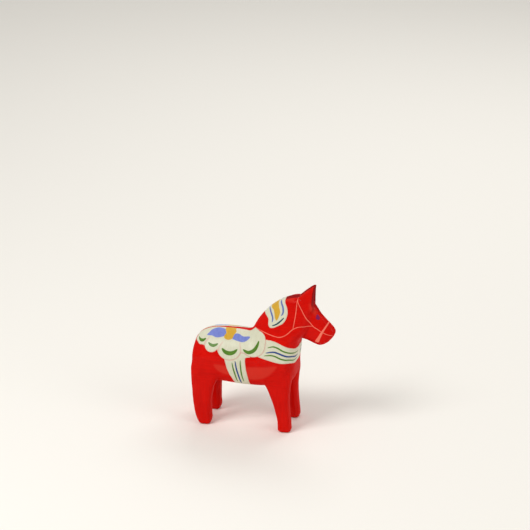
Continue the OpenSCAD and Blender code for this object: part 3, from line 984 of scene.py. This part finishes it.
# ---- the saddles
saddle = Lobes(
    [(-90, 113.5), (-89, 121), (-84, 130), (-74, 140), (-22, 140), (-17, 134), (-9, 134.4),
     (-4.5, 136), (-0.7, 136.3), (1.9, 135.4), (4.2, 133.9), (5.9, 132.2), (6.9, 129.8),
     (7.9, 124.5), (4, 114), (-20, 108), (-60, 110)],
    [(-81.9, 117.8, 6.1), (-65.5, 115.2, 10.1), (-41, 114.5, 17.1), (-9.3, 120.9, 16.7)],
    [Stroke(course, 1, 1) for course in (
        [(-75.8, 112), (-74.2, 116.4), (-70, 121)], [(-55.6, 107.5), (-54.5, 113), (-51, 118)],
        [(-25.8, 103.5), (-25.6, 111), (-28, 118.5)])])
flower = Area([
    (-53.5, 136), (-52.1, 130), (-51.2, 128.5), (-49.3, 126.6), (-50.8, 124), (-49.6, 121.7),
    (-44.2, 120.6), (-39.3, 122.3), (-38.2, 125.2), (-36.2, 128.2), (-38, 130.2), (-38.5, 136)],
    grain=80)
leaves = Group([
    Area([(-74.4, 122), (-72.6, 124.4), (-69.6, 126.9), (-62.4, 128.8), (-54.5, 129.2),
          (-50, 128.4), (-48, 125), (-54.3, 122.7), (-61.3, 121.6), (-67.5, 122.6)], grain=8),
    Area([(-41, 123), (-38, 126.3), (-31.9, 126.9), (-25.1, 125.1), (-16.3, 125.4),
          (-19.2, 121.8), (-24.9, 119.8), (-32.5, 120.6), (-38.5, 121.8)], grain=-8)],
    without=[flower])
crescents = Group([Stroke(course, width, 0.42) for width, course in (
    (2.9, [(-86.1, 117.3), (-82.7, 116.1), (-78.6, 116.5), (-74.8, 118.9)]),
    (3.4, [(-70.3, 115.8), (-67.4, 113.9), (-62.6, 113.2), (-57, 115.7)]),
    (5.2, [(-50.9, 111.2), (-45.9, 107.4), (-40.2, 106.2), (-34.7, 107.7), (-30.2, 111.7)]),
    (4.6, [(-22.6, 112.2), (-15.4, 109.3), (-8.3, 112.1), (-4, 118.3), (-2, 125)]))])
# The red strip between the saddles widens from the croup to the withers
SPINE_X, SPINE_HALF = (-62, -52, -42, -32, -22, -16, -10, 0), (1.1, 1.9, 2.1, 2.8, 4, 6.5, 10, 12)
# How far the flower and its leaves keep from the strip: the pair is not painted quite alike
FLOWER_GAP = {"left": 4.0, "right": 0.4}


def bare_strip(points, more=0.0):
    """Half the width of the red strip between the saddles, and more."""
    return np.interp(points[:, 0], SPINE_X, SPINE_HALF) + more


def paint_saddle(name, side):
    """A cream saddle with blue leaves, a yellow flower and a green crescent in each lobe."""
    def wider_strip(points):
        return bare_strip(points, FLOWER_GAP[name])

    film(name + "_saddle", saddle, 0, CREAM, side, bare_strip)
    film(name + "_saddle_leaves", leaves, CREAM, COLOUR, side, wider_strip, levels=2)
    film(name + "_saddle_flower", flower, CREAM, COLOUR, side, wider_strip, levels=2)
    film(name + "_saddle_crescents", crescents, CREAM, COLOUR, side, levels=2)


# ---- the breast band
breast_area = Area([
    (-2, 128), (6.7, 128.5), (14.3, 128.6), (20.9, 127.3), (27.2, 125), (32.5, 122.6),
    (37.6, 120.5), (42.1, 119), (46.1, 116.6), (51, 111.5), (51, 86), (46, 91), (44.3, 94.6),
    (42.6, 97.2), (40, 98.5), (36, 99.3), (27.5, 99.7), (19.4, 101.2), (11.3, 103), (1.1, 104.9),
    (-8, 107)],
    smooth=False, grain=-14)
breast_band = Group([breast_area], without=[saddle])
breast_green = strokes(
    GREEN_LINE, 0.3,
    [(11.2, 119), (18.2, 121), (24.8, 119.6), (31.3, 116.3), (37.4, 113.9), (42.8, 112),
     (46.8, 109)],
    [(7, 108.4), (15.8, 109.8), (22.3, 108.8), (28.7, 106.1), (34.9, 104.4), (40.2, 103.1),
     (45.4, 99.4)])
breast_blue = Stroke([
    (9.2, 112.3), (18.7, 114.3), (25.2, 113.2), (31.6, 110.8), (37.5, 108.6), (42.7, 107),
    (46.1, 102.8)], BLUE_LINE, 0.3)


def paint_breast_lines(name, side):
    """Two green lines with a blue one between them."""
    line_film(name + "_breast_green_lines", breast_green, side, clear=1.5, fade=12)
    line_film(name + "_breast_blue_line", breast_blue, side, clear=1.5, fade=12)


# ---- the girth band
girth_band = Group([Area([
    (-47, 112), (-46.6, 98), (-43.9, 86.8), (-40, 77.2), (-36.7, 71.6), (-34.2, 65.5), (-32, 50),
    (-11.6, 50), (-12.8, 64.5), (-14.6, 74), (-17.1, 85.5), (-18.7, 98), (-18.4, 101.9),
    (-16.5, 102.9), (-12, 103.5), (-9.5, 112)], smooth=False, grain=78)], without=[saddle, breast_area])
girth_green = strokes(
    GREEN_LINE, 0.3, [(-36.1, 94.6), (-34.9, 87.8), (-32.6, 79.2), (-29.2, 67.2)],
    [(-25, 98.6), (-24.7, 90.6), (-23.3, 79.5), (-20.7, 68)])
girth_blue = Stroke([(-31.9, 97), (-30.3, 86.7), (-27.4, 76.5), (-24.2, 64.4)], BLUE_LINE, 0.3)


def paint_girth_lines(name, side):
    """The same on the girth band."""
    line_film(name + "_girth_green_lines", girth_green, side, fade=8)
    line_film(name + "_girth_blue_line", girth_blue, side, fade=8)


# ---- the mane
mane_patch = Area([
    (-12, 164), (1.6, 157.7), (7.4, 154), (8.4, 150.6), (8.8, 146.8), (11.4, 143.6),
    (16.3, 144), (20.7, 146.1), (24.5, 148.2), (28.2, 150.4), (31.3, 154), (33.4, 158.9),
    (34.5, 165), (33.2, 172), (29.1, 178.5), (24, 190)], grain=-60)
mane_yellow = Area([
    (1, 178), (9.8, 167.6), (14, 165.4), (16.1, 161.5), (17.6, 156.2), (20.2, 153.6),
    (22.7, 158.2), (24.2, 164.6), (22.4, 169.9), (19.8, 174.6), (13, 186)], grain=-75)
mane_blue = strokes(
    MANE_BLUE_LINE, 0.35,
    [(4.9, 166.9), (8.7, 164.4), (12.1, 160.2), (14.4, 155.6), (14.1, 150.5)],
    [(21.1, 179.1), (23.8, 175.8), (26.9, 172.4), (28.2, 168), (28, 164), (26.1, 160.6)])
mane_teal = Stroke([(14.4, 146.4), (19.9, 148.9), (24.9, 153), (30, 158.6)], TEAL_LINE, 0.3)


def paint_mane_lines(name, side):
    """A blue line on each side of the yellow stroke and a teal one across its foot."""
    line_film(name + "_mane_blue_lines", mane_blue, side, clear=0.8, fade=7)
    line_film(name + "_mane_teal_line", mane_teal, side)


# ---- the bridle, noseband and eyes
NOSEBAND = 1.6 * COLOUR  # its thickness
bridle = strokes(
    BRIDLE_LINE, 0.2,
    [(46.2, 184), (46.1, 178), (45.7, 171.2), (44.8, 160.9), (42.5, 144.4)],
    [(46.2, 184), (47.5, 180), (52.7, 170.2), (59.3, 158.1), (66.8, 148), (72.7, 144.1),
     (79.3, 139.9), (85.8, 136.9), (92, 135)],
    [(-9, 137.5), (-1.4, 137.4), (5.3, 136.5), (12.4, 135.2), (19.2, 133.9), (25.6, 133.4),
     (32.3, 135.8), (37.5, 140), (42.4, 144.6), (49.6, 147.8), (58.3, 148), (67.4, 147.6)])
noseband = Area([
    (88.2, 156), (85, 151.5), (81, 145.5), (77.3, 139.9), (73.4, 133), (70.3, 127.7),
    (72.5, 126), (75.4, 126.7), (77.2, 131.8), (80, 138.5), (83.1, 144.4), (86.4, 150),
    (90.2, 154.6)], grain=60)
eye = Area([(71.4, 163), (73.6, 160.9), (75.2, 157.9), (74.4, 155.9), (72, 156.2), (70, 157.9),
            (70.2, 160.8)], grain=-60)


def paint_head(name, side):
    """The salmon cheek strap, face strap and rein, and the violet eye."""
    line_film(name + "_bridle", bridle, side, base=0)
    film(name + "_eye", eye, 0, COLOUR, side, levels=2)


for name, side in (("left", 1), ("right", -1)):
    paint_saddle(name, side)
    paint_breast_lines(name, side)
    paint_girth_lines(name, side)
    paint_mane_lines(name, side)
    paint_head(name, side)
film("breast_band", breast_band, 0, CREAM)
film("girth_band", girth_band, 0, CREAM)
film("mane_patch", mane_patch, 0, CREAM)
film("mane_yellow_stroke", mane_yellow, CREAM, COLOUR, levels=2)
film("noseband", noseband, 0, NOSEBAND, levels=2)

# ---- the stage, in metres
def aimed(thing, place, target):
    """Puts a light or a camera at a place and turns it to the target."""
    thing.location = place
    thing.rotation_euler = (Vector(target) - Vector(place)).to_track_quat("-Z", "Y").to_euler()


def make_floor(reach=6.0, under_soles=0.05 * MM):
    """A plain pale floor, just clear of the soles."""
    mesh = bpy.data.meshes.new("floor")
    corners = [(-reach, -reach, 0), (reach, -reach, 0), (reach, reach, 0), (-reach, reach, 0)]
    mesh.from_pydata(corners, [], [(0, 1, 2, 3)])
    floor = link("floor", mesh)
    floor.location.z = -under_soles
    mesh.materials.append(Nodes("pale_floor").finish(srgb(242, 239, 232), 0.85))


def make_world():
    """Even, slightly warm light from all round."""
    world = bpy.data.worlds.new("studio")
    bpy.context.scene.world = world
    world.use_nodes = True
    light = world.node_tree.nodes["Background"].inputs
    light["Color"].default_value = (1.0, 0.98, 0.95, 1)
    light["Strength"].default_value = 0.47


def softbox(name, place, size, watts, target=(0, 0, 0.09)):
    """A soft rectangular light that faces the horse."""
    data = bpy.data.lights.new(name, "AREA")
    data.shape = "RECTANGLE"
    data.size, data.size_y = size
    data.energy = watts
    aimed(link(name, data), place, target)


def make_camera(azimuth, elevation, view_width, up_shift, right_shift):
    """A long lens that looks at the horse from that many degrees. View width is what the picture
    takes in at the horse, and the shifts are the picture's middle from the origin."""
    turn, lift = math.radians(azimuth), math.radians(elevation)
    right = Vector((math.cos(turn), math.sin(turn), 0))
    level = math.cos(lift)
    back = Vector((math.sin(turn) * level, -math.cos(turn) * level, math.sin(lift)))
    target = back.cross(right) * up_shift + right * right_shift
    data = bpy.data.cameras.new("camera")
    data.lens, data.sensor_width = 200.0, 36.0
    data.clip_end = 50
    camera = link("camera", data)
    aimed(camera, target + back * (view_width * data.lens / data.sensor_width), target)
    bpy.context.scene.camera = camera


make_floor()
make_world()
softbox("key", (-0.9, -1.1, 1.7), (0.9, 0.8), 24)
softbox("fill", (1.6, -0.5, 0.9), (1.0, 1.0), 6)
softbox("back", (0.2, 1.5, 1.5), (1.6, 0.8), 13)
make_camera(14.5, 22, view_width=0.7035, up_shift=0.2062, right_shift=-0.0003)
bpy.context.scene.view_settings.view_transform = "Standard"
